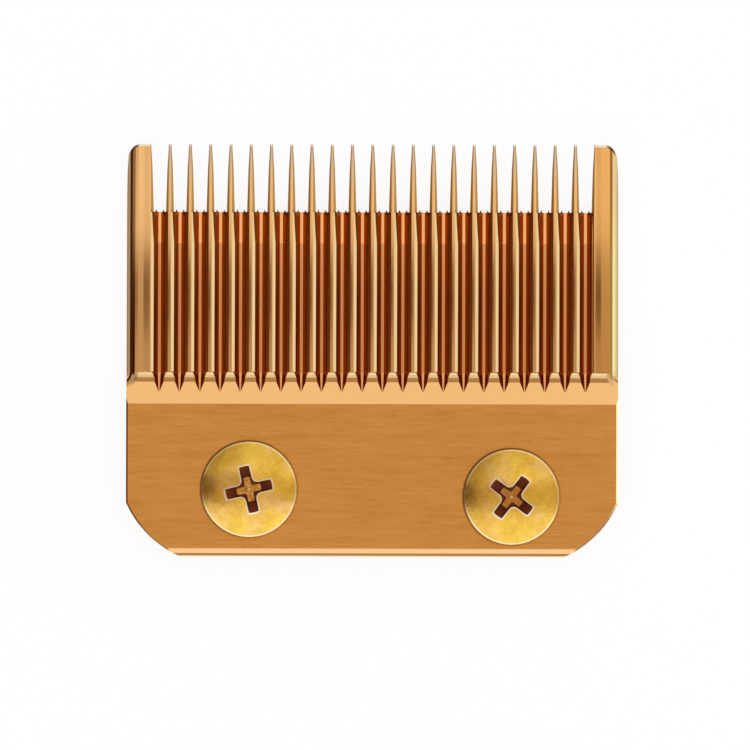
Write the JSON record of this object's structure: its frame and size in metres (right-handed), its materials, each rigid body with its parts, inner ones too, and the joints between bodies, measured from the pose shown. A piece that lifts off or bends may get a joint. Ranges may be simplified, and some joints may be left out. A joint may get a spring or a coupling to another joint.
{
  "type": "hair clipper blade",
  "caption": "Fixed comb blade of a hair clipper: a gold-coated steel plate with tapered, grooved teeth, a stepped flat body, rounded heel corners and cross-recess fixing screws.",
  "frame": {"origin": "on the flat back of the blade, midway between the two screw holes", "axes": "+X across the blade, +Y from the heel towards the tooth tips, +Z out of the front face"},
  "size_m": [0.045, 0.0377, 0.0077],
  "materials": {
    "coated_steel": "ground steel with a gold hard coating, finely brushed on the flat body and polished on the teeth",
    "screw_plating": "steel screws with yellow gold plating, bright and slightly mottled"
  },
  "bodies": {
    "root": {"fixed_blade": "coated_steel", "blade_screws": "screw_plating"}
  },
  "joints": []
}
